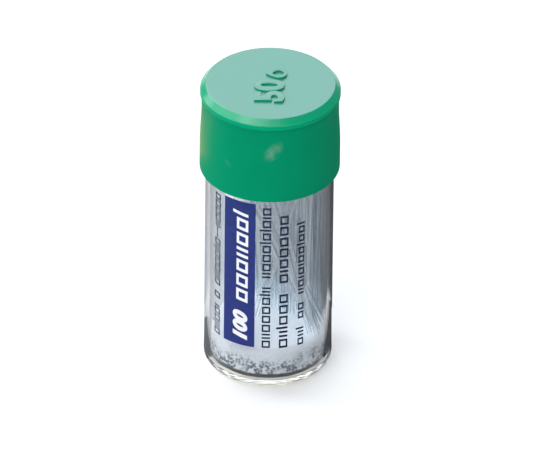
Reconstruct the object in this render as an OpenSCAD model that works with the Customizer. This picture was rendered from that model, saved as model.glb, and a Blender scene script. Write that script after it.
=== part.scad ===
// A vial of disposable glass capillaries. A flat-bottomed clear glass vial holds a soft
// pad, and a hundred open glass tubes stand on the pad and lean on the wall. A push-on
// plastic cap closes the mouth and lifts straight off.
// Millimetres, +Z up. The origin is the centre of the foot, on the bench.

/* [Vial] */
// Outside diameter of the glass vial
vial_d = 34; // [28:0.5:42]
// Thickness of the side wall
vial_wall = 1.4; // [1:0.1:1.8]
// Thickness of the floor at the rim of the foot
vial_floor = 1.6; // [1.4:0.1:3.2]
// Free height between the tops of upright tubes and the mouth
head_room = 8.4; // [5:0.2:20]
// Radius of the heel, between the outside wall and the foot
heel_r = 2.4; // [1.2:0.1:3]
// Radius between the inside wall and the floor
floor_r = 1.8; // [0.8:0.1:2]
// Width of the flat ring that the vial stands on
foot_ring = 2.2; // [1:0.1:4]
// Depth of the hollow under the foot, at its centre
push_up = 0.6; // [0.2:0.1:0.8]

/* [Pad] */
// Thickness of the soft pad on the floor
pad_h = 10; // [5:0.5:12]
// Gap between the pad and the inside wall
pad_gap = 0.3; // [0.2:0.05:0.6]
// Radius of the pad's rounded edges
pad_edge = 2; // [1.8:0.1:2.4]

/* [Capillaries] */
// How many tubes stand in the vial
tube_count = 100; // [60:1:110]
// Outside diameter of a tube
tube_d = 1.25; // [1.15:0.05:1.6]
// Length of a tube
tube_len = 64; // [53:0.5:77]
// Volume that one tube holds from end to end, in microlitres
tube_volume = 50; // [40:1:55]
// Least gap between two tubes
tube_gap = 0.1; // [0.05:0.05:0.2]
// Least gap between a tube and the inside wall
wall_gap = 0.3; // [0.2:0.05:0.6]
// How far the rows of tubes lean to the front, in degrees
row_tilt = 6; // [0:0.5:8]
// How far the bundle is turned in the vial, in degrees: 0 gathers it straight behind
bundle_turn = -10; // [-90:5:90]

/* [Cap] */
// Height of the cap, rim to top
cap_h = 25.5; // [20:0.1:32]
// Thickness of the top plate
cap_top = 1.8; // [1:0.1:2.4]
// Thickness of the skirt at the neck, below the lip
cap_wall = 1.1; // [0.9:0.05:1.8]
// How far the lip and the rim stand out from the neck
cap_swell = 0.4; // [0.2:0.05:0.6]
// Height of the bevel between the top and the lip
bevel_h = 1.6; // [0.6:0.05:2]
// Width of the bevel, measured across the top
bevel_w = 1.3; // [0.8:0.1:2]
// Height of the lip's upright face
lip_h = 1.5; // [0.8:0.1:2]
// Height of the straight neck under the lip
neck_h = 4; // [2:0.5:5]
// Height of the swollen band at the rim
rim_h = 7.5; // [4:0.5:9]
// Radius of the cap's moulded edges
edge_r = 0.3; // [0.2:0.05:0.4]
// Depth of the sealing ring that enters the mouth
seal_h = 2; // [1:0.1:3]
// Thickness of the sealing ring
seal_wall = 0.7; // [0.5:0.1:1.2]

/* [Fits] */
// Running clearance between the cap's bore and the vial
cap_fit = 0.05; // [0.03:0.01:0.1]
// Clearance between the sealing ring and the vial's bore
seal_fit = 0.1; // [0.05:0.01:0.2]
// Gap between pieces that rest on each other
rest_gap = 0.05; // [0.02:0.01:0.1]

/* [Hidden] */
$fn = 96;

vial_r = vial_d / 2;
bore_r = vial_r - vial_wall;
pad_z = vial_floor + rest_gap;
pad_top_z = pad_z + pad_h;
vial_h = pad_top_z + tube_len + head_room;

ceiling_z = vial_h + rest_gap;
cap_top_z = ceiling_z + cap_top;
rim_z = cap_top_z - cap_h;
cap_bore_r = vial_r + cap_fit;
neck_r = cap_bore_r + cap_wall;
lip_r = neck_r + cap_swell;
lip_z = cap_top_z - bevel_h - lip_h;

// How far a cut runs past the solid that it goes through
overcut = 1;

// The bore of a tube follows from the volume that it holds and its length.
tube_r = tube_d / 2;
tube_bore_r = sqrt(tube_volume / tube_len / PI);

// Points along an arc about c, from angle a0 to a1.
function arc(c, r, a0, a1, steps = 8) =
    [for (i = [0:steps]) c + r * [cos(a0 + (a1 - a0) * i / steps), sin(a0 + (a1 - a0) * i / steps)]];

// ---- How the tubes stand ------------------------------------------------------------
// The tubes fill flat rows, one in front of the other, starting at the back of the vial.
// Every row lies in a plane of its own, and the planes are parallel, so that tubes of two
// rows never meet. Within a row the tubes keep their order from left to right, at the
// pad and at the top, so that they don't meet either, though no two lean alike.

// Each row from the back: its sideways lean and how much of it is filled, from the right.
// Both are shares of the room that the vial leaves there.
row_plan = [
    [0.05, 1], [-0.07, 1], [0.09, 1], [-0.06, 0.95], [0.05, 0.85], [-0.1, 0.7], [0.06, 0.55],
    [-0.05, 0.42], [0.08, 0.3], [-0.86, 1], [0.55, 0.2], [-0.9, 1], [-0.74, 0.4], [-0.93, 1], [-0.6, 0.3]
];
// Where the first row stands, in from the back of the bore
first_row = 0.9;
// Most that the tubes of a loose row stand apart, as a multiple of touching
most_ease = 1.22;
ease_step = 0.01;
order_step = 0.05;
// Most that one tube may lean out of line with its row, as a share of the row's width
stray = 1 / 8;
// Steepest lean that a row's spacing allows for, as a sine
steepest = 0.7;
// How unevenly the spare width of a row is shared out: the power makes the few wide gaps
least_share = 0.3;
share_power = 4;
foot_seed = 11;
top_seed = 47;

reach = bore_r - tube_r - wall_gap;
pitch = tube_d + tube_gap;

function sum_to(list, n, i = 0) = i >= n ? 0 : list[i] + sum_to(list, n, i + 1);
function half_chord(y) = sqrt(max(0, reach * reach - y * y));
// Length of a tube measured up its row's plane, when its top is moved sideways by shift
function up_plane(shift) = sqrt(tube_len * tube_len - shift * shift);

// Order runs from 0, where the rows stand as planned, to 1, where they are upright and full.
function tilt(order) = row_tilt * (1 - order);
function last_row(order) =
    floor((2 * reach - first_row - tube_len * sin(tilt(order))) * cos(tilt(order)) / pitch);

// A row as [y, leftmost foot, width, sideways move of its top, least step from foot to foot].
// The step grows with the lean, because a leaning tube is wider along the row.
function row_at(row, order) =
    let (plan = row_plan[row % len(row_plan)],
         y = reach - first_row - row * pitch / cos(tilt(order)),
         foot = half_chord(y),
         shift = plan[0] * (1 - order) * (foot + half_chord(y - tube_len * sin(tilt(order)))),
         top = half_chord(y - up_plane(shift) * sin(tilt(order))),
         left = max(-foot, -top - shift),
         right = min(foot, top - shift),
         width = (right - left) * (1 - (1 - plan[1]) * (1 - order)),
         sine = min(steepest, (abs(shift) + width * stray) / tube_len))
    [y, right - width, width, shift, pitch / sqrt(1 - sine * sine)];

// Tubes in a row, with the feet at least ease times its step apart
function in_row(row, ease) = row[2] < 0 ? 0 : 1 + floor(row[2] / row[4] / ease);
function rows_at(order) = [for (row = [0:last_row(order)]) row_at(row, order)];
function total(rows, ease) = sum_to([for (row = rows) in_row(row, ease)], len(rows));

// The rows as loose as they can be with room for every tube: first they close up, and
// then they straighten.
function settled(ease = most_ease, order = 0) =
    total(rows_at(order), ease) >= tube_count || order >= 1 ? [rows_at(order), ease, tilt(order)]
    : ease > 1 + ease_step ? settled(ease - ease_step, order)
    : settled(ease, order + order_step);
bundle = settled();
rows = bundle[0];
ease = bundle[1];
row_lean = bundle[2];

// Places along a row: equal steps, with the spare width shared out unevenly by seed.
function spread(from, width, n, step, seed) =
    let (share = [for (s = rands(least_share, 1, n + 1, seed)) pow(s, share_power)],
         spare = width - (n - 1) * step)
    [for (i = [0:n - 1]) from + i * step + spare * sum_to(share, i + 1) / sum_to(share, n + 1)];

// Each tube as its foot, [x, y] at the pad, and the sideways move of its top
function row_tubes(i) =
    let (row = rows[i], n = in_row(row, ease),
         feet = spread(row[1], row[2], n, row[4], foot_seed + i),
         tops = spread(row[1] + row[3], row[2], n, row[4], top_seed + i))
    n == 0 ? [] : [for (k = [0:n - 1]) [feet[k], row[0], tops[k] - feet[k]]];

back_to_front = [for (i = [0:len(rows) - 1]) each row_tubes(i)];
// The front tubes come first.
tubes = [for (i = [1:tube_count]) back_to_front[tube_count - i]];

// Tubes that are nodes of their own; those behind them share one node.
single_tubes = min(50, tube_count);
function tube_name(i) = str("capillary_", i < 10 ? "0" : "", i);

// ---- Pieces -------------------------------------------------------------------------

// Clear glass, drawn from tube: hollow foot, round heel, thick floor, fire-polished mouth
module vial() {
    foot_in = vial_r - heel_r - foot_ring;
    dish_r = (foot_in * foot_in + push_up * push_up) / (2 * push_up);
    color([0.82, 0.88, 0.9, 0.35])
        rotate_extrude()
            polygon(concat(
                arc([0, push_up - dish_r], dish_r, 90, 90 - asin(foot_in / dish_r)),
                arc([vial_r - heel_r, heel_r], heel_r, -90, 0),
                arc([vial_r - vial_wall / 2, vial_h - vial_wall / 2], vial_wall / 2, 0, 180),
                arc([bore_r - floor_r, vial_floor + floor_r], floor_r, 0, -90),
                [[0, vial_floor]]
            ));
}

// Soft pad that the tubes stand on, cut to fill the floor
module pad() {
    pad_r = bore_r - pad_gap;
    color([0.93, 0.92, 0.87])
        rotate_extrude()
            polygon(concat(
                [[0, pad_z]],
                arc([pad_r - pad_edge, pad_z + pad_edge], pad_edge, -90, 0),
                arc([pad_r - pad_edge, pad_top_z - pad_edge], pad_edge, 0, 90),
                [[0, pad_top_z]]
            ));
}

// One tube, open from end to end, with its foot on the pad
module capillary(tube) {
    shift = tube[2];
    along = up_plane(shift);
    lean = [shift, -along * sin(row_lean), along * cos(row_lean)] / tube_len;
    slope = acos(lean[2]);
    // A leaning tube stands on one edge of its square end, so its axis starts higher.
    lift = tube_r * tan(slope);
    color([0.8, 0.87, 0.9, 0.5])
        rotate(bundle_turn)
            translate([tube[0], tube[1], pad_top_z + rest_gap] + lift * lean)
            rotate([0, slope, atan2(lean[1], lean[0])])
                difference() {
                    cylinder(h = tube_len, r = tube_r, $fn = 24);
                    translate([0, 0, -overcut])
                        cylinder(h = tube_len + 2 * overcut, r = tube_bore_r, $fn = 24);
                }
}

module capillaries_behind() {
    for (i = [single_tubes:tube_count - 1])
        capillary(tubes[i]);
}

// Push-on cap: bevelled top, lip to pull on, swollen rim, ring that seals inside the mouth
module cap() {
    seal_r = bore_r - seal_fit;
    bevel = atan2(bevel_h, bevel_w);
    color([0, 0.58, 0.4])
        rotate_extrude()
            polygon(concat(
                [[0, ceiling_z], [seal_r - seal_wall, ceiling_z]],
                [[seal_r - seal_wall, ceiling_z - seal_h], [seal_r - seal_wall / 2, ceiling_z - seal_h]],
                [[seal_r, ceiling_z - seal_h + seal_wall], [seal_r, ceiling_z]],
                [[cap_bore_r, ceiling_z], [cap_bore_r, rim_z + edge_r], [cap_bore_r + edge_r, rim_z]],
                arc([lip_r - edge_r, rim_z + edge_r], edge_r, -90, 0),
                skirt_curve(),
                arc([neck_r + edge_r, lip_z - edge_r], edge_r, 180, 90),
                arc([lip_r - edge_r, lip_z + edge_r], edge_r, -90, 0),
                arc([lip_r - edge_r, cap_top_z - bevel_h - edge_r / 2], edge_r, 0, 90 - bevel / 2, 4),
                arc([lip_r - bevel_w - edge_r, cap_top_z - edge_r], edge_r, 90 - bevel, 90, 4),
                [[0, cap_top_z]]
            ));
}

// The skirt runs from the swollen rim into the neck in one soft curve.
function skirt_curve(steps = 12) =
    let (low = rim_z + rim_h, high = lip_z - neck_h)
    [for (i = [0:steps]) [neck_r + cap_swell * (1 + cos(180 * i / steps)) / 2, low + (high - low) * i / steps]];

vial();
pad();
cap();
for (i = [1:single_tubes])
    capillary(tubes[i - 1]);
capillaries_behind();
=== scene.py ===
# %% [markdown]
# # A vial of disposable glass capillaries
#
# A clear glass vial, about as wide as a film canister, holds a hundred open glass tubes. They
# stand on a soft pad and are kept in by a green push-on cap. The glass, the tubes and the cap
# come from the CAD model with their true shapes, so this lesson gives them their finish. It
# then models what the CAD leaves out: the soft pad, the raised number and the printed label.
#
# Everything is in metres, with +Z up and the printed side facing -Y.

import math
import random

import bpy
from mathutils import Matrix, Vector


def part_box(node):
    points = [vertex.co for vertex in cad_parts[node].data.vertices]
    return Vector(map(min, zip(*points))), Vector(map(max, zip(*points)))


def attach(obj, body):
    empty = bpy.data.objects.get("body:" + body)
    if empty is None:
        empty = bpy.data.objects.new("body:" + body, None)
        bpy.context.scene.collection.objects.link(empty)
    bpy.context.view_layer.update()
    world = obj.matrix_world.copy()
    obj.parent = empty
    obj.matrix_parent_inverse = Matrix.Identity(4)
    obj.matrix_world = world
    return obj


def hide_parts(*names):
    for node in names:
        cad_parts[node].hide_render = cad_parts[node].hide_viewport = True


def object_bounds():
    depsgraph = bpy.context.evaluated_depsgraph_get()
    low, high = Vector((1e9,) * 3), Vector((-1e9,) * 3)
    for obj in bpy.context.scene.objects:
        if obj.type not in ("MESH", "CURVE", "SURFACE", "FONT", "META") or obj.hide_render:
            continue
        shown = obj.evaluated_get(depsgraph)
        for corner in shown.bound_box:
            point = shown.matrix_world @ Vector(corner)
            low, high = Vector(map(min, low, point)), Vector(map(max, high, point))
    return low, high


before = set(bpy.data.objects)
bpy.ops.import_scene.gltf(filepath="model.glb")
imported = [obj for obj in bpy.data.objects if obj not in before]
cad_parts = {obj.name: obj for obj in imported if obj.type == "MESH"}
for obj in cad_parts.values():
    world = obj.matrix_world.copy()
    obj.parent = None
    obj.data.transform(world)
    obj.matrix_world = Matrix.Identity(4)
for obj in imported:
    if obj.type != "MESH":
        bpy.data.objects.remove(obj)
cad_box = [list(corner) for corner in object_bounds()]
MM = 0.001

# %% [markdown]
# ## Measures
#
# A print that is rolled on a bottle has to know the bottle's radius, and a raised number has
# to know how high the cap is. Typed numbers would go stale when a size changes, so these are
# read from the boxes of the CAD pieces. Only the layout of the print is typed, in mm.

# %% Read the measures from the frame
vial_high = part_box("vial")[1]
cap_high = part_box("cap")[1]
pad_low, pad_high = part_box("pad")
glass_r = vial_high.x
cap_r = cap_high.x
cap_top_z = cap_high.z
middle = sum((Vector(corner) for corner in cad_box), Vector()) / 2
print(f"vial {2 * glass_r / MM:.1f} mm across, cap {2 * cap_r / MM:.1f} mm across, "
      f"{cap_top_z / MM:.1f} mm high in all")

# %% [markdown]
# ## Camera
#
# The vial is seen from far away through a long lens, so its upright lines stay parallel. It
# is looked at from above by about a third of a right angle. A camera could be tracked to an
# empty, but one rotation worked out from the viewing angle is easier to read and to change.

# %% Set up the camera
VIEW_ELEVATION = math.radians(33.8)
VIEW_ROLL = math.radians(0.65)
VIEW_DISTANCE = 5.0
LENS_MM = 1260
SENSOR_MM = 36
# A little to the right of the middle and below it, so the vial stands left and high
AIM = middle + Vector((0.27, 0, -2.0)) * MM

back = Vector((0, -math.cos(VIEW_ELEVATION), math.sin(VIEW_ELEVATION)))
bpy.ops.object.camera_add(location=AIM + back * VIEW_DISTANCE)
camera = bpy.context.object
camera.name = "camera"
camera.data.lens = LENS_MM
camera.data.sensor_width = SENSOR_MM
camera.data.clip_end = 4 * VIEW_DISTANCE
camera.rotation_mode = "QUATERNION"
roll = Matrix.Rotation(VIEW_ROLL, 3, back).to_quaternion()
camera.rotation_quaternion = roll @ (-back).to_track_quat("-Z", "Y")
bpy.context.scene.camera = camera
print(f"camera {VIEW_DISTANCE:.1f} m away, {math.degrees(VIEW_ELEVATION):.1f} degrees up")

# %% [markdown]
# ## Light
#
# Glass shows what is around it, so the studio matters as much as the material. One large
# softbox behind gives the pale sheen on the flat top of the cap, a broad one overhead keeps
# the floor white, and two more light the print and the skirt from the front and the left.
# Three small cards light nothing, and only show as a shine: two put streaks on the bevel of
# the cap, and a warm one close by tints its left side. The room is left dim, so that shaded
# sides stay deep. Lamps without size would be simpler, but they make hard spots that a satin
# plastic doesn't show.

# %% Set up the softboxes
WHITE = (1, 1, 1)
SOFTBOXES = (
    # name, azimuth and elevation in degrees, distance and size in m, radiance, colour
    ("softbox_behind", 180, 38, 0.9, (1.1, 0.6), 2.7, (0.93, 0.97, 1.0)),
    ("softbox_overhead", -20, 78, 1.0, (0.9, 0.9), 2.7, WHITE),
    ("softbox_front", -30, 35, 1.0, (0.7, 0.7), 2.4, WHITE),
    ("softbox_left", -115, 25, 0.6, (0.2, 0.6), 3.5, (0.96, 0.95, 1.0)),
)
CARDS = (
    ("card_side", -62, 34, 0.6, (0.8, 0.4), 2.3, WHITE),
    ("card_high_left", -135, 55, 0.5, (0.3, 0.5), 5.0, WHITE),
)
WARM_CARD = ("card_warm", -117, 28, 0.0345, (0.02, 0.03), 7.0, (1.0, 0.3, 0.02))
# The warm card lies flat under the cap's left side, and this is a point straight above it
WARM_AIM = Vector((-0.027, 0.014, 1.0))


def softbox(name, azimuth, elevation, distance, size, radiance, colour, aim=middle):
    """An area light that faces the vial. Azimuth 0 is at the camera's side, 90 at the right."""
    turn, up = math.radians(azimuth), math.radians(elevation)
    way = Vector((math.sin(turn) * math.cos(up), -math.cos(turn) * math.cos(up), math.sin(up)))
    bpy.ops.object.light_add(type="AREA", location=middle + way * distance)
    box = bpy.context.object
    box.name = name
    box.rotation_mode = "QUATERNION"
    box.rotation_quaternion = (box.location - aim).to_track_quat("Z", "Y")
    box.data.shape = "RECTANGLE"
    box.data.size, box.data.size_y = size
    box.data.energy = radiance * math.pi * size[0] * size[1]
    box.data.color = colour
    box.visible_camera = False
    print(f"{name}: {box.data.energy:.4f} W")
    return box


for numbers in SOFTBOXES:
    softbox(*numbers)
cards = [softbox(*numbers) for numbers in CARDS]
warm_card = softbox(*WARM_CARD, aim=WARM_AIM)
for card in (*cards, warm_card):
    card.visible_diffuse = card.visible_transmission = False

# %% Set up the room
ROOM_COLOUR = (0.42, 0.45, 0.5, 1)
ROOM_STRENGTH = 0.4
# Light goes round many times in the foot, and through wall after wall of the tubes
BOUNCES = 40
DULL_BOUNCES = 4
CLEAR_WALLS = 96

world = bpy.data.worlds.new("studio")
scene = bpy.context.scene
scene.world = world
world.use_nodes = True
room = world.node_tree.nodes["Background"]
room.inputs["Color"].default_value = ROOM_COLOUR
room.inputs["Strength"].default_value = ROOM_STRENGTH
scene.view_settings.view_transform = "Standard"
scene.cycles.max_bounces = BOUNCES
scene.cycles.transmission_bounces = BOUNCES
scene.cycles.glossy_bounces = BOUNCES
scene.cycles.diffuse_bounces = DULL_BOUNCES
scene.cycles.transparent_max_bounces = CLEAR_WALLS
print(f"{len(SOFTBOXES)} softboxes, {len(CARDS) + 1} cards, up to {BOUNCES} bounces")

# %% [markdown]
# ## Tools
#
# An operator acts on whatever is selected, so each step begins by selecting one piece alone.
# Faces are then picked by where they lie, as a hand would pick them with the mouse.

# %% Small tools for modelling with operators
def only(piece):
    """Selects one piece and nothing else."""
    bpy.ops.object.select_all(action="DESELECT")
    piece.select_set(True)
    bpy.context.view_layer.objects.active = piece
    return piece


def added(name):
    """The object that an operator has just made, with its name."""
    piece = bpy.context.object
    piece.name = name
    piece.data.name = name
    return only(piece)


def pick_faces(piece, test):
    """Enters edit mode with only those faces selected that pass the test."""
    only(piece)
    bpy.ops.object.mode_set(mode="EDIT")
    bpy.ops.mesh.select_mode(type="FACE")
    bpy.ops.mesh.select_all(action="DESELECT")
    bpy.ops.object.mode_set(mode="OBJECT")
    for face in piece.data.polygons:
        face.select = test(face)
    bpy.ops.object.mode_set(mode="EDIT")


def apply_modifiers(piece):
    """Turns every modifier of a piece into mesh, from the first to the last."""
    only(piece)
    for name in [modifier.name for modifier in piece.modifiers]:
        bpy.ops.object.modifier_apply(modifier=name)


def settle(piece, angle=35):
    """Puts the piece's place into its mesh and smooths its curved faces."""
    only(piece)
    bpy.ops.object.transform_apply(location=True, rotation=True, scale=True)
    bpy.ops.object.shade_smooth_by_angle(angle=math.radians(angle))
    print(f"{piece.name}: {len(piece.data.polygons)} faces")
    return piece


def wear(piece, material):
    """Gives a modelled piece its one material."""
    piece.data.materials.clear()
    piece.data.materials.append(material)


def dress(names, material):
    """Gives CAD nodes their finish."""
    for name in names:
        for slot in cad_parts[name].material_slots:
            slot.material = material
    print(f"{material.name}: on {len(names)} CAD pieces")


# %% [markdown]
# ## Finishes
#
# A finish is a small graph of nodes: patterns and masks on one side, one shader on the other.
# It could be wired by hand in the shader editor, but the same few steps come back in every
# finish. So each of them has a short function, which places a node and returns its socket.

# %% Small tools for building materials from nodes
def feed(tree, node, sockets):
    """Sets a node's sockets. A value is a number, a colour or the socket that feeds it."""
    for key, value in sockets.items():
        if isinstance(value, bpy.types.NodeSocket):
            tree.links.new(value, node.inputs[key])
        else:
            node.inputs[key].default_value = value
    return node


def place(tree, kind, sockets=None, **settings):
    """Adds a node of one kind, with its settings and what feeds it."""
    node = tree.nodes.new("ShaderNode" + kind)
    for key, value in settings.items():
        setattr(node, key, value)
    return feed(tree, node, sockets or {})


def product(tree, first, second, **settings):
    """The socket with the product of two numbers or sockets."""
    return place(tree, "Math", {0: first, 1: second}, operation="MULTIPLY", **settings).outputs[0]


def remap(tree, value, old=(0.0, 1.0), new=(0.0, 1.0), **settings):
    """The socket with a value that is carried from an old range to a new one."""
    return place(tree, "MapRange", {
        "Value": value, "From Min": old[0], "From Max": old[1], "To Min": new[0], "To Max": new[1],
    }, **settings).outputs[0]


def blend(tree, factor, first, second):
    """The socket with a colour that goes from first to second. Each is a colour or a socket."""
    ends = [end if isinstance(end, bpy.types.NodeSocket) else (*end, 1) for end in (first, second)]
    return place(tree, "Mix", {"Factor": factor, "A": ends[0], "B": ends[1]},
                 data_type="RGBA").outputs[2]


def relief(tree, height, strength, distance):
    """The socket with a normal that a height bends."""
    return place(tree, "Bump", {
        "Height": height, "Strength": strength, "Distance": distance,
    }).outputs[0]


def new_group(name, inputs, outputs):
    """A node group with named inputs, as {name: (type, value)}, and named outputs."""
    tree = bpy.data.node_groups.new(name, "ShaderNodeTree")
    for key, (kind, value) in inputs.items():
        socket = tree.interface.new_socket(key, in_out="INPUT", socket_type="NodeSocket" + kind)
        if value is not None:
            socket.default_value = value
    for key, kind in outputs.items():
        tree.interface.new_socket(key, in_out="OUTPUT", socket_type="NodeSocket" + kind)
    return tree, tree.nodes.new("NodeGroupInput").outputs, tree.nodes.new("NodeGroupOutput")


def use_group(tree, group, sockets):
    """Adds a shared effect to a material and returns what it gives."""
    node = tree.nodes.new("ShaderNodeGroup")
    node.node_tree = group
    return feed(tree, node, sockets).outputs


def new_material(name, **constants):
    """A material with one Principled shader. Returns it, its tree, the shader and the place."""
    material = bpy.data.materials.new(name)
    material.use_nodes = True
    tree = material.node_tree
    shader = tree.nodes["Principled BSDF"]
    for key, value in constants.items():
        shader.inputs[key.replace("_", " ")].default_value = value
    where = place(tree, "TexCoord").outputs["Object"]
    return material, tree, shader, where


# %% [markdown]
# ## Shared effects
#
# No real surface is even. Moulded plastic, drawn glass and printed ink all have a faint
# swell and patches that are a little duller, so one group makes both from noise. A second
# group scatters round specks, which place the painted shade in the pores of the pad. A third
# gives a soft mask between two heights. Painted images could do this too, but noise in the
# object's own space needs no unwrapping, and it has detail at any distance.

# %% Group: a faint swell and uneven gloss
uneven, given, result = new_group(
    "Uneven surface",
    {
        "Vector": ("Vector", None), "Scale": ("Float", 200.0),
        "Gloss from": ("Float", 0.3), "Gloss to": ("Float", 0.4),
    },
    {"Roughness": "Float", "Height": "Float"},
)
# Noise seldom leaves this range
NOISE_RANGE = (0.3, 0.7)
broad = place(uneven, "TexNoise", {
    "Vector": given["Vector"], "Scale": given["Scale"], "Detail": 4.0,
}).outputs[0]
gloss = remap(uneven, broad, old=NOISE_RANGE, new=(given["Gloss from"], given["Gloss to"]))
feed(uneven, result, {"Roughness": gloss, "Height": broad})


def swell(tree, where, scale, gloss=(0.3, 0.4)):
    """The sockets Height and Roughness of the swell. Gloss is the range of the roughness."""
    return use_group(tree, uneven, {
        "Vector": where, "Scale": scale, "Gloss from": gloss[0], "Gloss to": gloss[1],
    })


# %% Group: round specks
specks, given, result = new_group(
    "Specks",
    {
        "Vector": ("Vector", None), "Scale": ("Float", 1000.0),
        "Share": ("Float", 0.3), "Size": ("Float", 0.3),
    },
    {"Mask": "Float"},
)
cells = place(specks, "TexVoronoi", {"Vector": given["Vector"], "Scale": given["Scale"]}).outputs
chosen = place(specks, "Math", {0: given["Share"], 1: cells["Color"]}, operation="GREATER_THAN")
near = remap(specks, cells["Distance"], old=(given["Size"], 0.0))
feed(specks, result, {"Mask": product(specks, chosen.outputs[0], near)})

# %% Group: a mask that rises from one height to another
rise, given, result = new_group(
    "Rise",
    {"Vector": ("Vector", None), "From": ("Float", 0.0), "To": ("Float", 0.01)},
    {"Mask": "Float"},
)
height = place(rise, "SeparateXYZ", {"Vector": given["Vector"]}).outputs["Z"]
risen = remap(rise, height, old=(given["From"], given["To"]), interpolation_type="SMOOTHSTEP")
feed(rise, result, {"Mask": risen})


def above(tree, where, start, end):
    """The socket with a mask that is 0 on one side of two heights and 1 on the other."""
    return use_group(tree, rise, {"Vector": where, "From": start, "To": end})["Mask"]


print(f"shared effects: {', '.join(group.name for group in (uneven, specks, rise))}")

# %% [markdown]
# ## Floor
#
# A plain pale sheet of paper under the vial. A sheet that curves up behind would do as well,
# but the studio's light is the same all round, so a wide flat one is enough. It isn't part of
# the object, and neither is the cloth that comes next.

# %% Make the floor
FLOOR_SIZE = 8
FLOOR_GAP = 0.03 * MM
GRAIN = 40.0
DULL = 0.9
PAPER, PAPER_LIGHT = (0.90, 0.90, 0.90), (0.92, 0.92, 0.92)


def dull_material(name, dark, light, roughness, shine):
    """Paper or cloth, with a faint grain between two tones."""
    material, tree, shader, where = new_material(
        name, Roughness=roughness, Specular_IOR_Level=shine)
    grain = swell(tree, where, GRAIN, (DULL, DULL))
    feed(tree, shader, {"Base Color": blend(tree, grain["Height"], dark, light)})
    return material


bpy.ops.mesh.primitive_plane_add(size=FLOOR_SIZE, location=(0, 0, -FLOOR_GAP))
floor = added("floor")
wear(floor, dull_material("floor_paper", PAPER, PAPER_LIGHT, DULL, 0.1))
print(f"floor {FLOOR_SIZE} m across")

# %% [markdown]
# ## Flags
#
# Clear glass on white paper would all but vanish: its edges only show because they bend what
# stands beside them into view. So cloth is put round it, as in any studio. Two upright flags
# stand behind the vial, a pale one at the left and a grey one at the right, a third closes
# its right side, and two small mats lie beside the foot. The camera doesn't see them and they
# throw no shadow. Softboxes could give the pale side, but light passes through them, and the
# white floor behind would still shine in. Dark lines painted on the glass would stay where
# they are when the view turns, and these move with it.

# %% Stand cloth flags round the glass
# The nap of the cloth catches the light, a little more in the blue
NAP = (1.2, 1.25, 1.3)


def cloth(name, grey):
    """A dull cloth of this grey, with its faintly blue nap."""
    light = tuple(gain * grey for gain in NAP)
    return dull_material(name, (grey, grey, grey), light, 1.0, 0.0)


pale_cloth = cloth("cloth_pale", 0.8)
silver_cloth = cloth("cloth_silver", 0.27)
grey_cloth = cloth("cloth_grey", 0.17)
black_cloth = cloth("cloth_black", 0.09)
FLAGS = (
    # name, cloth, middle in mm, size in mm, turn about X and then about Z in degrees
    ("flag_left", pale_cloth, (-36.0, 24.0, 31.0), (46.0, 61.0), 90, -12),
    ("flag_right", grey_cloth, (36.0, 24.0, 31.0), (46.0, 61.0), 90, 12),
    ("flag_side", silver_cloth, (37.0, 4.0, 31.0), (36.0, 61.0), 90, 90),
    ("mat_left", grey_cloth, (-22.0, 5.0, 0.2), (8.0, 20.0), 0, 20),
    ("mat_right", black_cloth, (24.0, 9.0, 0.2), (9.0, 28.0), 0, -20),
)
for name, stuff, spot, (width, depth), tilt, turn in FLAGS:
    bpy.ops.mesh.primitive_plane_add(size=1, location=[step * MM for step in spot],
                                     rotation=(math.radians(tilt), 0, math.radians(turn)))
    flag = added(name)
    flag.scale = (width * MM, depth * MM, 1)
    wear(flag, stuff)
    flag.visible_camera = flag.visible_diffuse = flag.visible_shadow = False
    print(f"{name}: {width:.0f} by {depth:.0f} mm of {stuff.name}")

# %% [markdown]
# ## Glass
#
# The vial is drawn from glass tube, so it carries very fine lines along its length. They are
# far too fine to model, and a faint bump that is stretched along Z is enough. The wall is a
# little smoky, and where one looks along it a painted shade darkens it, in place of the dark
# surroundings that its edge bends into view. Light runs round inside the thick foot, so there
# the glass looks warmer and slightly frosted. The hundred tubes get the same material, clearer
# and with a lighter painted edge shade, because a ray crosses twenty of their walls. Shadow
# rays pass straight through: a glass that cast its true shadows would need far more samples to
# look as clean.

# %% Dress the vial and the tubes
FOOT_ENDS = (pad_low.z - 0.4 * MM, pad_low.z + 0.8 * MM)
FOOT_FROST = 0.06
# How slanted the glass is seen where its painted edge shade starts and is full, in foot and body
EDGE_SHADE_STARTS = (0.62, 0.2)
EDGE_SHADE_FULL = (0.8, 0.6)
DRAWN_LINES = 900.0
LINE_STRETCH = 0.03
LINE_DEPTH = 0.1 * MM
tube_names = [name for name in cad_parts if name.startswith("capillar")]
GLASSES = (
    # name, pieces, tint, painted shade at a slant, tint in the foot, shine, strength of the lines
    ("vial_glass", ["vial"],
     (0.85, 0.875, 0.905), (0.0, 0.0, 0.0), (0.90, 0.84, 0.66), 0.02, 0.01),
    ("capillary_glass", tube_names,
     (0.95, 0.965, 0.972), (0.3, 0.34, 0.38), (1, 1, 1), 0.2, 0.0),
)


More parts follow.
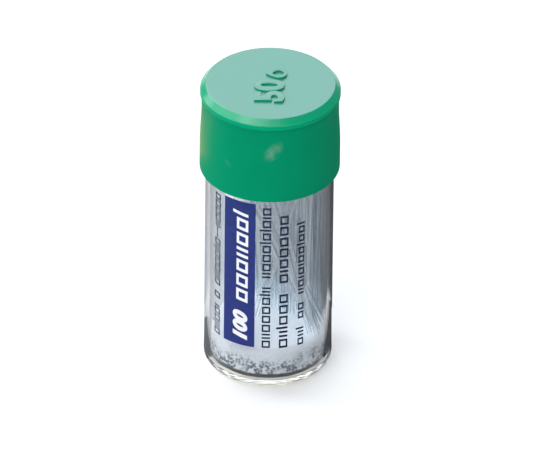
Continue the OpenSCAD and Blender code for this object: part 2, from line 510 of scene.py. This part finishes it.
def drawn_glass(name, tint, edge_shade, foot_tint, shine, bump):
    """Glass with its own tint, a painted shade where it is seen at a slant, and a tint below the
    pad.
    """
    material, tree, shader, where = new_material(
        name, Roughness=0.0, IOR=1.5, Transmission_Weight=1.0, Specular_IOR_Level=shine)
    body = above(tree, where, *FOOT_ENDS)
    slope = place(tree, "LayerWeight", {"Blend": 0.25}).outputs["Facing"]
    starts, full = remap(tree, body, new=EDGE_SHADE_STARTS), remap(tree, body, new=EDGE_SHADE_FULL)
    edge = remap(tree, slope, old=(starts, full))
    lines_at = place(tree, "Mapping", {"Vector": where, "Scale": (1, 1, LINE_STRETCH)}).outputs[0]
    lines = swell(tree, lines_at, DRAWN_LINES)
    feed(tree, shader, {
        # Where the glass is seen at a slant, its colour goes to a painted shade
        "Base Color": blend(tree, edge, blend(tree, body, foot_tint, tint), edge_shade),
        "Roughness": remap(tree, body, new=(FOOT_FROST, 0.0)),
        "Normal": relief(tree, lines["Height"], bump, LINE_DEPTH),
    })
    in_shadow = place(tree, "LightPath").outputs["Is Shadow Ray"]
    # A wall is crossed at both of its faces, so each takes the square root of the tint
    clear = place(tree, "BsdfTransparent", {"Color": (*(tone ** 0.5 for tone in tint), 1)})
    both = place(tree, "MixShader", {0: in_shadow, 1: shader.outputs[0], 2: clear.outputs[0]})
    feed(tree, tree.nodes["Material Output"], {"Surface": both.outputs[0]})
    return material


for name, pieces, *look in GLASSES:
    dress(pieces, drawn_glass(name, *look))

# %% [markdown]
# ## Cap
#
# The cap is moulded in green polyethylene with a satin skin. Its flat top looks paler than
# the skirt from the sheen of the light behind: the coat gives part of it, and a paler green
# on the flat top is painted sheen. The lip's lighter green is painted light, where the lip
# catches the light. Masks by height give the top and the lip their own tone and gloss, and
# noise keeps the skirt from being even.
# Two paler patches on the front are soft oval masks, broken up by the same noise. They could
# be painted by hand, but a mask with a place and a lean is easier to move.

# %% Dress the cap
SKIRT_GREEN, SKIRT_LIGHT = (0.0, 0.255, 0.122), (0.0, 0.295, 0.142)
LIP_LIT_GREEN = (0.0, 0.355, 0.17)
# The lip's lighter green is painted light, where the lip catches the light
TOP_SHEEN_GREEN = (0.055, 0.27, 0.208)
# The top's paler green is painted sheen from the light behind
PALE_OVAL_GREEN = (0.26, 0.43, 0.35)
# Each mask starts and is full at a depth below the top, in mm
TOP_SHEEN_ENDS = (0.2, 0.03)
LIP_LIT_ENDS = (3.5, 2.9)
SHINE_ENDS = (1.9, 1.3)
# How far a face looks up, as the Z of its normal, before it counts as the flat top
FLAT_ENDS = (0.8, 0.95)
SKIN_SWELL, OVAL_NOISE_SWELL = 120.0, 330.0
PALE_OVALS = (
    # middle across and below the top in mm, half-widths in mm, lean in degrees, strength
    (0.9, 9.8, (2.3, 4.0, 4.4), 36, 0.8),
    (-11.0, 15.5, (1.8, 8.0, 1.2), 60, 0.3),
)

satin, tree, shader, where = new_material(
    "cap_plastic", Specular_IOR_Level=0.01, Coat_Roughness=0.22, Coat_IOR=1.5)


def below_top(ends):
    """The mask between two depths below the cap's top."""
    return above(tree, where, *(cap_top_z - depth * MM for depth in ends))


def scuff(across, below, half, lean, strength, oval_noise):
    """The mask of one paler patch on the front of the cap: a soft oval, broken up by noise."""
    spread = place(tree, "Mapping", {
        "Vector": where, "Location": (across * MM, -cap_r, cap_top_z - below * MM),
        "Rotation": (0, math.radians(lean), 0), "Scale": [width * MM for width in half],
    }, vector_type="TEXTURE")
    away = place(tree, "VectorMath", {0: spread.outputs[0]}, operation="LENGTH").outputs["Value"]
    paled = remap(tree, away, old=(1.0, 0.1), new=(0.0, strength), interpolation_type="SMOOTHSTEP")
    return product(tree, paled, oval_noise)


skin = swell(tree, where, SKIN_SWELL, (0.5, 0.58))
oval_noise = swell(tree, where, OVAL_NOISE_SWELL, (0.0, 1.0))["Roughness"]
facing = place(tree, "SeparateXYZ", {"Vector": place(tree, "NewGeometry").outputs["Normal"]})
upward = remap(tree, facing.outputs["Z"], old=FLAT_ENDS)
colour = blend(tree, skin["Height"], SKIRT_GREEN, SKIRT_LIGHT)
# A lighter green on the lip and bevel: painted light
colour = blend(tree, below_top(LIP_LIT_ENDS), colour, LIP_LIT_GREEN)
# A paler green on the flat top: painted sheen
colour = blend(tree, product(tree, below_top(TOP_SHEEN_ENDS), upward), colour, TOP_SHEEN_GREEN)
for numbers in PALE_OVALS:
    colour = blend(tree, scuff(*numbers, oval_noise), colour, PALE_OVAL_GREEN)
feed(tree, shader, {
    "Base Color": colour,
    "Coat Weight": remap(tree, below_top(SHINE_ENDS), new=(0.02, 1.0)),
    "Roughness": skin["Roughness"],
    "Normal": relief(tree, skin["Height"], 0.1, 0.2 * MM),
})
dress(["cap"], satin)

# The warm card shines on the cap alone, or the glass would mirror it once the cap is lifted
warmed = bpy.data.collections.new("lit_by_card_warm")
warmed.objects.link(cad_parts["cap"])
warm_card.light_linking.receiver_collection = warmed

# %% [markdown]
# ## Raised number
#
# The volume that a tube holds stands on the cap as a raised number, with a plain drop beside
# it for a liquid. The mould was cut with a round tool, so the strokes have soft edges. Digits
# could be drawn point by point, but a text object already has good outlines. It is given its
# depth and its rounded edge as text, and only then becomes a mesh that can be fitted.

# %% Helpers for raised and printed figures
WELD = 0.001 * MM


def fit(piece, length, height):
    """Scales a flat figure to a length and a height, with its lower left corner at zero."""
    spots = [corner.co for corner in piece.data.vertices]
    low = [min(spot[axis] for spot in spots) for axis in range(3)]
    high = [max(spot[axis] for spot in spots) for axis in range(3)]
    size = [far - near for near, far in zip(low, high)]
    piece.data.transform(
        Matrix.Diagonal((length / size[0], height / size[1], 1, 1))
        @ Matrix.Translation((-low[0], -low[1], 0))
    )
    return piece


def digits(name, number, length, height, shear=0.0, weight=0.0, depth=0.0, soften=0.0):
    """A number as a mesh, lying flat in the XY plane, with its lower left corner at zero."""
    bpy.ops.object.text_add(location=(0, 0, 0))
    text = bpy.context.object
    text.data.body = str(number)
    text.data.size = height
    text.data.shear = shear
    text.data.offset = weight
    text.data.extrude = depth
    text.data.bevel_depth = soften
    text.data.bevel_resolution = 2
    text.data.resolution_u = 8
    only(text)
    bpy.ops.object.convert(target="MESH")
    piece = added(name)
    bpy.ops.object.mode_set(mode="EDIT")
    bpy.ops.mesh.select_all(action="SELECT")
    bpy.ops.mesh.remove_doubles(threshold=WELD)
    bpy.ops.object.mode_set(mode="OBJECT")
    return fit(piece, length, height)


# %% Helper: an open ring
def open_ring(piece, thickness):
    """Leaves only a ring of this thickness of a flat piece."""
    pick_faces(piece, lambda face: True)
    bpy.ops.mesh.inset(thickness=thickness)
    bpy.ops.mesh.delete(type="FACE")
    bpy.ops.object.mode_set(mode="OBJECT")


# %% Model the raised number
RAISED = 0.6 * MM
SUNK = 0.2 * MM
SOFT_EDGE = 0.15 * MM
NUMBER_LENGTH, NUMBER_HEIGHT = 10.6 * MM, 8.2 * MM
NUMBER_WEIGHT = 0.22 * MM
# Where the figures stand, and where the first one starts
NUMBER_BASE, NUMBER_START = 3.8 * MM, -9.5 * MM
# Reading direction to +Y, so that the figures' tops point to -X
up_the_cap = Matrix.Rotation(math.radians(90), 4, "Z")

cap_number = digits("cap_number", 50, NUMBER_LENGTH, NUMBER_HEIGHT, weight=NUMBER_WEIGHT,
                    depth=(RAISED + SUNK) / 2 - SOFT_EDGE, soften=SOFT_EDGE)
number_middle = cap_top_z + (RAISED - SUNK) / 2
cap_number.data.transform(
    Matrix.Translation((NUMBER_BASE, NUMBER_START, number_middle)) @ up_the_cap
)
settle(cap_number)

# %% Model the drop beside it
DROP_R = 2.2 * MM
DROP_STROKE = 0.95 * MM
DROP_AT = (2.2 * MM, 4.0 * MM)
TIP_LENGTH = 1.3 * MM
TIP_NARROWING = 0.55

bpy.ops.mesh.primitive_circle_add(vertices=32, radius=DROP_R, fill_type="NGON")
drop = added("cap_drop")
open_ring(drop, DROP_STROKE)
for corner in drop.data.vertices:
    if corner.co.y > 0:
        sharpen = corner.co.y / DROP_R
        corner.co.y += TIP_LENGTH * sharpen ** 2
        corner.co.x *= 1 - TIP_NARROWING * sharpen ** 2
bpy.ops.object.mode_set(mode="EDIT")
bpy.ops.mesh.select_all(action="SELECT")
bpy.ops.mesh.extrude_region_move(TRANSFORM_OT_translate={"value": (0, 0, RAISED + SUNK)})
bpy.ops.mesh.select_all(action="SELECT")
bpy.ops.mesh.normals_make_consistent(inside=False)
bpy.ops.object.mode_set(mode="OBJECT")
drop.data.transform(Matrix.Translation((*DROP_AT, cap_top_z - SUNK)) @ up_the_cap)
rounding = drop.modifiers.new("rounding", "BEVEL")
rounding.width = SOFT_EDGE
rounding.segments = 2
apply_modifiers(drop)
settle(drop)

for piece in (cap_number, drop):
    wear(piece, satin)
    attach(piece, "cap")

# %% [markdown]
# ## Pad
#
# A disc of matted white fibre closes the bottom of the vial and keeps the thin tubes from
# chipping on the glass. It is cut a little small and is pressed flat below, while its
# top is soft. It is modelled from a cylinder whose ends get rings by insetting, then it is
# bevelled, subdivided and dented by a cloud texture. The dents only go inwards, so the pad
# never grows through the glass.

# %% Model the pad
PAD_EDGE = 1.9 * MM
PAD_RINGS = 5
pad_r, pad_h = pad_high.x, pad_high.z - pad_low.z

bpy.ops.mesh.primitive_cylinder_add(
    vertices=64, radius=pad_r, depth=pad_h, location=(0, 0, (pad_low.z + pad_high.z) / 2)
)
pad = added("fibre_pad")
pick_faces(pad, lambda face: abs(face.normal.z) > 0.9)
for _ in range(PAD_RINGS):
    bpy.ops.mesh.inset(thickness=pad_r / (PAD_RINGS + 1))
bpy.ops.mesh.poke()
bpy.ops.object.mode_set(mode="OBJECT")
pick_faces(pad, lambda face: abs(face.normal.z) < 0.1)
bpy.ops.mesh.subdivide(number_cuts=2)
bpy.ops.object.mode_set(mode="OBJECT")

edge = pad.modifiers.new("edge", "BEVEL")
edge.width = PAD_EDGE
edge.segments = 4
edge.limit_method = "ANGLE"
edge.angle_limit = math.radians(60)
finer = pad.modifiers.new("finer", "SUBSURF")
finer.levels = finer.render_levels = 2
apply_modifiers(pad)
settle(pad, 80)

# %% Dent the pad
TUFT = 1.2 * MM
DENT = 0.5 * MM
# The middle is pressed by the tubes, so its dents are only a share of those at the rim
MIDDLE_SHARE = 0.25

matting = bpy.data.textures.new("matting", "CLOUDS")
matting.noise_scale = TUFT
matting.noise_depth = 3
soft = pad.vertex_groups.new(name="soft")
for corner in pad.data.vertices:
    up = (corner.co.z - pad_low.z) / pad_h
    out = math.hypot(corner.co.x, corner.co.y) / pad_r
    share = MIDDLE_SHARE + (1 - MIDDLE_SHARE) * out ** 6
    soft.add([corner.index], min(1, up * 4) * share, "REPLACE")
dents = pad.modifiers.new("dents", "DISPLACE")
dents.texture = matting
dents.texture_coords = "LOCAL"
dents.vertex_group = "soft"
dents.strength = DENT
dents.mid_level = 1.0
apply_modifiers(pad)
print(f"pad {pad.dimensions.x / MM:.2f} mm across, {pad.dimensions.z / MM:.2f} mm thick")

# %% Dress the pad
FIBRE_WHITE, FIBRE_LIGHT = (0.70, 0.72, 0.74), (0.80, 0.81, 0.82)
PORE_SHADE_GREY = (0.10, 0.13, 0.15)
FOOT_SHADE = (0.01, 0.012, 0.012)
FIBRE_SWELL, PATCH_SWELL = 900.0, 300.0
PORES_PER_M, PORE_SHARE, PORE_SIZE = 1300.0, 0.8, 0.8
# The painted shade of the pores is seen in the lower part, and the very foot lies in painted shade
PORE_ENDS = (pad_high.z - 1.0 * MM, pad_low.z + 2.0 * MM)
SHADE_ENDS = (pad_low.z + 2.4 * MM, pad_low.z + 1.9 * MM)

fibre, tree, shader, where = new_material("pad_fibre", Roughness=0.95, Specular_IOR_Level=0.2)
fine = swell(tree, where, FIBRE_SWELL, (0.9, 1.0))
pores = use_group(tree, specks, {
    "Vector": where, "Scale": PORES_PER_M, "Share": PORE_SHARE, "Size": PORE_SIZE,
})["Mask"]
patches = swell(tree, where, PATCH_SWELL, (-0.2, 1.2))["Roughness"]
spotted = product(tree, product(tree, pores, above(tree, where, *PORE_ENDS)), patches)
colour = blend(tree, fine["Height"], FIBRE_WHITE, FIBRE_LIGHT)
# Dark specks in the lower part: painted shade in the pores between fibre clumps
colour = blend(tree, product(tree, spotted, 4.0, use_clamp=True), colour, PORE_SHADE_GREY)
colour = blend(tree, above(tree, where, *SHADE_ENDS), colour, FOOT_SHADE)
feed(tree, shader, {
    "Base Color": colour,
    "Roughness": fine["Roughness"],
    "Normal": relief(tree, fine["Height"], 0.6, 0.3 * MM),
})
wear(pad, fibre)

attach(pad, "vial")
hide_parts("pad")

# %% [markdown]
# ## Print
#
# The label is printed straight on the glass: a blue field with a white number, and lines of
# dark text that run up the vial. A label could be a picture on the glass, but real ink has a
# body and an edge, and it hides what is behind it. So each print is modelled flat, cut into
# narrow upright strips, rolled round the glass and given the thickness of ink. This
# part carries no words, so rows of plain bars and squares stand where the words would be.

# %% Helpers: roll a flat print on the glass
INK = 0.03 * MM
INK_GAP = 0.01 * MM
STRIP = 0.4 * MM
# The print is drawn as if on paper, then it is stood up: it reads upwards, facing -Y
up_the_glass = Matrix(((0, -1, 0, 0), (0, 0, -1, 0), (1, 0, 0, 0), (0, 0, 0, 1)))


def on_glass(piece, baseline, start, layer, ink):
    """Rolls a flat print round the vial. Baseline is in degrees, 0 in front, more to the right."""
    piece.data.transform(
        Matrix.Translation((math.radians(baseline) * glass_r, 0, start)) @ up_the_glass
    )
    only(piece)
    across = [corner.co.x for corner in piece.data.vertices]
    bpy.ops.object.mode_set(mode="EDIT")
    for cut in range(1, math.ceil((max(across) - min(across)) / STRIP)):
        bpy.ops.mesh.select_all(action="SELECT")
        bpy.ops.mesh.bisect(plane_co=(min(across) + cut * STRIP, 0, 0), plane_no=(1, 0, 0))
    bpy.ops.object.mode_set(mode="OBJECT")
    inner = glass_r + INK_GAP + layer * INK
    for corner in piece.data.vertices:
        turn = corner.co.x / glass_r
        corner.co = (inner * math.sin(turn), -inner * math.cos(turn), corner.co.z)
    body = piece.modifiers.new("body", "SOLIDIFY")
    body.thickness = INK
    body.offset = 1
    apply_modifiers(piece)
    settle(piece)
    wear(piece, ink)
    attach(piece, "vial")
    return piece


# %% Mix the inks
INK_SWELL = 500.0


def mixed_ink(name, colour):
    """Dried ink, a little lighter where its film is thin."""
    material, tree, shader, where = new_material(name, Specular_IOR_Level=0.05)
    film = swell(tree, where, INK_SWELL, (0.5, 0.65))
    thin = tuple(min(1, tint * 1.25 + 0.01) for tint in colour)
    feed(tree, shader, {
        "Base Color": blend(tree, film["Height"], colour, thin),
        "Roughness": film["Roughness"],
    })
    print(f"{name}: mixed")
    return material


ink_blue = mixed_ink("ink_blue", (0.02, 0.034, 0.17))
ink_dark = mixed_ink("ink_dark", (0.006, 0.014, 0.04))
ink_white = mixed_ink("ink_white", (0.80, 0.82, 0.86))

# %% Print the blue field and its number
# The field's sides in degrees round the glass, and its ends above the foot
FIELD_FROM, FIELD_TO = -43.2, -12.0
FIELD_LOW, FIELD_HIGH = 13.1 * MM, 58.6 * MM
FIELD_CORNER = 0.01
WHITE_BASELINE = -18.6
LABEL_START, LABEL_LENGTH, LABEL_HEIGHT = 15.0 * MM, 9.0 * MM, 4.3 * MM
LABEL_SHEAR, LABEL_WEIGHT = 0.25, 0.26 * MM

bpy.ops.mesh.primitive_plane_add(size=1)
field = added("label_field")
bpy.ops.object.mode_set(mode="EDIT")
bpy.ops.mesh.select_all(action="SELECT")
bpy.ops.mesh.bevel(offset=FIELD_CORNER, offset_pct=0, affect="VERTICES", segments=3)
bpy.ops.object.mode_set(mode="OBJECT")
fit(field, FIELD_HIGH - FIELD_LOW, math.radians(FIELD_TO - FIELD_FROM) * glass_r)
on_glass(field, FIELD_TO, FIELD_LOW, 0, ink_blue)

label_number = digits("label_number", 100, LABEL_LENGTH, LABEL_HEIGHT,
                      shear=LABEL_SHEAR, weight=LABEL_WEIGHT)
on_glass(label_number, WHITE_BASELINE, LABEL_START, 1, ink_white)

# %% Helpers: rows of marks
# How often each kind of mark comes up in a row
MARK_SHARES = {"square": 10, "bar": 4, "tall": 3, "dash": 1}


def mark(kind, height, stroke):
    """One mark, flat in the XY plane: a square outline, a bar, a tall bar or a dash."""
    width, tall = {
        "square": (0.85 * height, height), "bar": (stroke, height),
        "tall": (stroke, 1.35 * height), "dash": (0.6 * height, stroke),
    }[kind]
    bpy.ops.mesh.primitive_plane_add(size=1)
    piece = added(kind)
    fit(piece, width, tall)
    if kind == "dash":
        piece.data.transform(Matrix.Translation((0, height / 2, 0)))
    if kind == "square":
        open_ring(piece, stroke)
    return piece, width


def row_of_marks(name, words, length, height, stroke, slant, seed):
    """A row with as many marks in each word as words says, spread over its length."""
    random.seed(seed)
    masters = {kind: mark(kind, height, stroke) for kind in MARK_SHARES}
    gap, space = 1.1 * stroke, 0.9 * height
    row, along = [], 0.0
    for count in words:
        for kind in random.choices(list(masters), weights=list(MARK_SHARES.values()), k=count):
            master, width = masters[kind]
            copy = master.copy()
            copy.data = master.data.copy()
            bpy.context.collection.objects.link(copy)
            copy.data.transform(Matrix.Translation((along, 0, 0)))
            row.append(copy)
            along += width + gap
        along += space
    for master, _ in masters.values():
        bpy.data.objects.remove(master)
    bpy.ops.object.select_all(action="DESELECT")
    for copy in row:
        copy.select_set(True)
    bpy.context.view_layer.objects.active = row[0]
    bpy.ops.object.join()
    piece = added(name)
    # Neither the last gap nor the last space is part of the row
    squeeze = length / (along - space - gap)
    piece.data.transform(
        Matrix(((squeeze, slant, 0, 0), (0, 1, 0, 0), (0, 0, 1, 0), (0, 0, 0, 1)))
    )
    print(f"{name}: {sum(words)} marks, set {squeeze:.2f} times as wide")
    return piece


# %% Print rows of marks
ROWS = (
    # name, baseline in degrees, start and length in mm, marks in each word,
    # height and stroke in mm, slant, seed, layer of ink, ink, slot
    ("label_row", WHITE_BASELINE, 26.8, 28.0, (8,),
     3.3, 0.72, 0.2, 3, 1, ink_white, "ink_white"),
    ("print_row_1", -48.5, 13.2, 44.4, (6, 1, 17),
     2.2, 0.42, 0.2, 11, 0, ink_dark, "ink_dark"),
    ("print_row_2", 2.0, 13.2, 44.4, (10, 11),
     2.2, 0.42, 0.0, 12, 0, ink_dark, "ink_dark"),
    ("print_row_3", 17.8, 13.0, 41.9, (7, 7),
     2.3, 0.44, 0.0, 13, 0, ink_dark, "ink_dark"),
    ("print_row_4", 33.4, 12.9, 38.9, (4, 2, 12),
     1.7, 0.36, 0.0, 14, 0, ink_dark, "ink_dark"),
)
for name, baseline, start, length, words, height, stroke, slant, seed, layer, ink, slot in ROWS:
    printed = row_of_marks(name, words, length * MM, height * MM, stroke * MM, slant, seed)
    on_glass(printed, baseline, start * MM, layer, ink)
